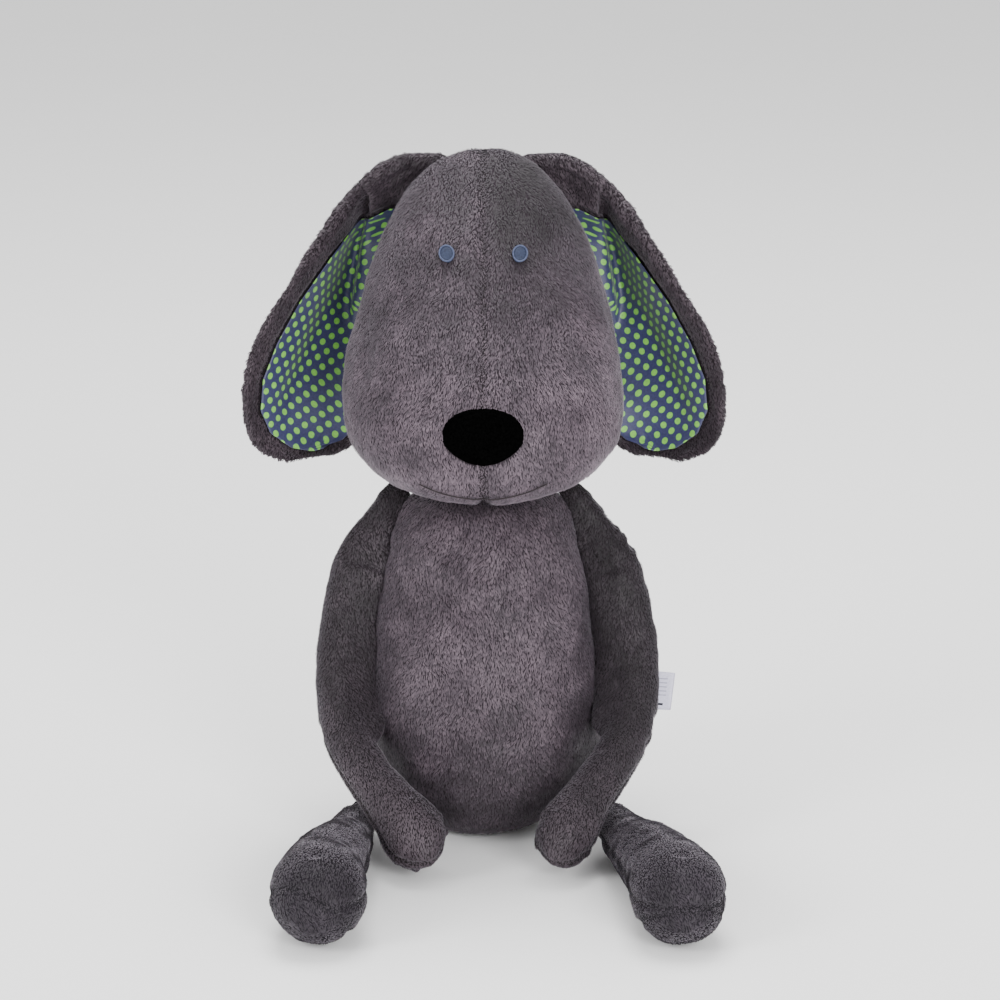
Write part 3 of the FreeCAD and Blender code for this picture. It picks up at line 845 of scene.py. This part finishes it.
def disc(name, centre, radii, dome, rings, segments, material, edge=None, proud=0.0):
    """A domed disc that follows the head. edge(angle) scales the outline."""
    points, faces = [on_head(centre[0], centre[1], proud + dome)[0]], []
    for ring in range(1, rings + 1):
        share = ring / rings
        height = proud + dome * math.sqrt(max(0.0, 1 - share ** 4)) - (1.2 if ring == rings else 0.0)
        for k in range(segments):
            angle = 2 * math.pi * k / segments
            scale = share * (edge(angle) if edge else 1.0)
            x = centre[0] + radii[0] * scale * math.cos(angle)
            z = centre[1] + radii[1] * scale * math.sin(angle)
            points.append(on_head(x, z, height)[0])
    for k in range(segments):
        after = (k + 1) % segments
        faces.append((0, 1 + k, 1 + after))
        for ring in range(rings - 1):
            a, b = 1 + ring * segments, 1 + (ring + 1) * segments
            faces.append((a + k, b + k, b + after, a + after))
    mesh = bpy.data.meshes.new(name)
    mesh.from_pydata([tuple(p) for p in points], [], faces)
    made = place(name, mesh)
    made.data.materials.append(material)
    only(made)
    bpy.ops.object.mode_set(mode="EDIT")
    bpy.ops.mesh.select_all(action="SELECT")
    bpy.ops.mesh.normals_make_consistent(inside=False)
    bpy.ops.object.mode_set(mode="OBJECT")
    bpy.ops.object.shade_smooth()
    return made


def thread_line(name, path, radius, material):
    """A thread laid along the given points of the head."""
    curve = bpy.data.curves.new(name, "CURVE")
    curve.dimensions = "3D"
    spline = curve.splines.new("POLY")
    spline.points.add(len(path) - 1)
    for point, spot in zip(spline.points, path):
        point.co = (*spot, 1)
    curve.bevel_depth = radius * MM
    curve.bevel_resolution = 2
    only(place(name, curve))
    bpy.ops.object.convert(target="MESH")
    made = bpy.context.view_layer.objects.active
    made.data.materials.append(material)
    bpy.ops.object.shade_smooth()
    return made


# %% Nose
def nose_outline(angle):
    """An oval a little fuller than an ellipse, drawn to a soft point below."""
    full = (abs(math.cos(angle)) ** 2.3 + abs(math.sin(angle)) ** 2.3) ** (-1 / 2.3)
    return full * (1 - 0.08 * math.sin(2 * angle) ** 2 * (math.sin(angle) < 0))


nose_centre = (0.0, (nose_low[2] + nose_high[2]) / 2)
nose_radii = ((nose_high[0] - nose_low[0]) / 2, (nose_high[2] - nose_low[2]) / 2)
nose = disc("nose_felt", nose_centre, nose_radii, 2.2, 14, 64, nose_material, nose_outline, proud=0.8)
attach(nose, "head")
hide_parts("nose_patch")

# %% Eyes
for side, sign in SIDES.items():
    low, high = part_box(f"eye_{side}")
    middle = ((low[0] + high[0]) / 2, (low[2] + high[2]) / 2 - EYE_DROP * MM)
    radius = (high[0] - low[0]) / 2
    eye = disc(f"eye_{side}_stitch", middle, (radius, radius), 0.8, 8, 40, eye_material, proud=1.4)
    circle = [on_head(middle[0] + radius * math.cos(a), middle[1] + radius * math.sin(a), 1.9)[0]
              for a in np.linspace(0, 2 * math.pi, 49)]
    rim = thread_line(f"eye_{side}_rim", circle, 0.45, eye_rim_material)
    for piece in (eye, rim):
        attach(piece, "head")
    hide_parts(f"eye_{side}")

# %% Smile
mouth_low, mouth_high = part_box("mouth_stitch")
half_width = (mouth_high[0] - mouth_low[0]) / 2
smile = []
for share in np.linspace(-1, 1, 61):
    z = mouth_low[2] + SMILE_RAISE * MM + (mouth_high[2] - mouth_low[2]) * share ** 2
    smile.append(on_head(share * half_width, z, 1.3)[0])
mouth = thread_line("mouth_seam", smile, 0.35, dark_thread_material)
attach(mouth, "head")
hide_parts("mouth_stitch")

# %% [markdown]
# ## Label
# A folded satin ribbon caught in the left side seam, with washing lines printed in grey.

# %% Label
low, high = (np.array(c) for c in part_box("care_label"))
hinge = joints["label_flap"]["pos_m"]
length, height, lean = high[0] - low[0], 20 * MM, math.radians(6)


def ribbon_point(along, up, side_of_fold):
    """A point of the folded ribbon: along from the seam, up its width, on either leaf."""
    gape = 0.9 * MM * math.sin(math.pi * min(along / length, 1.0)) + 0.25 * MM
    curl = 1.6 * MM * (along / length) ** 2
    x = hinge[0] + along * math.cos(lean) + up * math.sin(lean)
    z = hinge[2] - along * math.sin(lean) + up * math.cos(lean)
    return (x, hinge[1] + side_of_fold * gape + curl, z)


columns, rows = 26, 12
ribbon, faces = [], []
for leaf in range(2 * columns - 1):
    along = length * (leaf if leaf < columns else 2 * columns - 2 - leaf) / (columns - 1)
    fold = -1 if leaf < columns else 1
    if leaf == columns - 1:
        fold = 0
    for row in range(rows):
        ribbon.append(ribbon_point(along, height * (row / (rows - 1) - 0.5), fold))
for leaf in range(2 * columns - 2):
    for row in range(rows - 1):
        a = leaf * rows + row
        faces.append((a, a + 1, a + rows + 1, a + rows))
mesh = bpy.data.meshes.new("side_label")
mesh.from_pydata(ribbon, [], faces)
label = place("side_label", mesh)
label.data.materials.append(label_material)
apply_modifier(label, "SOLIDIFY", thickness=0.2 * MM, offset=0)
only(label)
bpy.ops.object.shade_smooth()


def printed_bar(name, along, up, wide, tall, material):
    """A printed mark on the label's front leaf."""
    spots = [(along, up), (along + wide, up), (along + wide, up + tall), (along, up + tall)]
    corners = []
    for a, u in spots:
        x, y, z = ribbon_point(a * MM, u * MM, -1)
        corners.append((x, y - 0.14 * MM, z))
    sheet = bpy.data.meshes.new(name)
    sheet.from_pydata(corners, [], [(0, 1, 2, 3)])
    made = place(name, sheet)
    made.data.materials.append(material)
    apply_modifier(made, "SOLIDIFY", thickness=0.05 * MM, offset=0)
    return made


marks = [printed_bar(f"label_line_{k}", 27.0, 6.5 - 2.2 * k, 4.5, 0.5, print_material) for k in range(5)]
marks.append(printed_bar("label_bar", 27.5, -7.6, 3.0, 1.2, black_print_material))
for piece in [label] + marks:
    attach(piece, "label")
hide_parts("care_label")

# %% [markdown]
# ## Studio
# A white sweep under large soft lamps, and a long lens a little above the toy.

# %% Stage, lamps and camera
bpy.ops.mesh.primitive_plane_add(size=8, location=(0, 0, -0.0008))
floor = bpy.context.view_layer.objects.active
floor.name = "floor"
floor_material, floor_tree, floor_shader = new_material("studio_sweep_paper")
paper = node(floor_tree, "TexNoise", [("Vector", node(floor_tree, "TexCoord").outputs["Object"])], Scale=3.0)
floor_tree.links.new(ramp(floor_tree, paper.outputs["Fac"], [(0.2, "#FDFDFD"), (0.8, "#FFFFFF")]),
                     floor_shader.inputs["Base Color"])
floor_shader.inputs["Roughness"].default_value = 0.9
floor.data.materials.append(floor_material)


def lamp(name, spot, size, power):
    """A square soft box aimed at the middle of the toy."""
    light = bpy.data.lights.new(name, "AREA")
    light.size, light.energy = size, power
    made = place(name, light)
    made.location = spot
    made.rotation_euler = (Vector((0, axis_y, 0.17)) - Vector(spot)).to_track_quat("-Z", "Y").to_euler()
    return made


lamps = [lamp("key_soft_box", (0.8, -1.9, 0.9), 0.8, 44),
         lamp("fill_soft_box", (-1.6, -1.2, 1.2), 0.8, 24),
         lamp("top_soft_box", (0.0, 0.5, 2.2), 1.2, 44)]
world = bpy.data.worlds.new("studio")
world.use_nodes = True
world.node_tree.nodes["Background"].inputs["Color"].default_value = (1, 1, 1, 1)
world.node_tree.nodes["Background"].inputs["Strength"].default_value = 1.1
bpy.context.scene.world = world

camera_data = bpy.data.cameras.new("camera")
camera_data.lens = 115.9
camera = place("camera", camera_data)
target = Vector((8 * MM, axis_y - 20 * MM, 175.5 * MM))
elevation = math.radians(15)
camera.location = target + 1.6 * Vector((0, -math.cos(elevation), math.sin(elevation)))
camera.rotation_euler = (target - camera.location).to_track_quat("-Z", "Y").to_euler()
bpy.context.scene.camera = camera
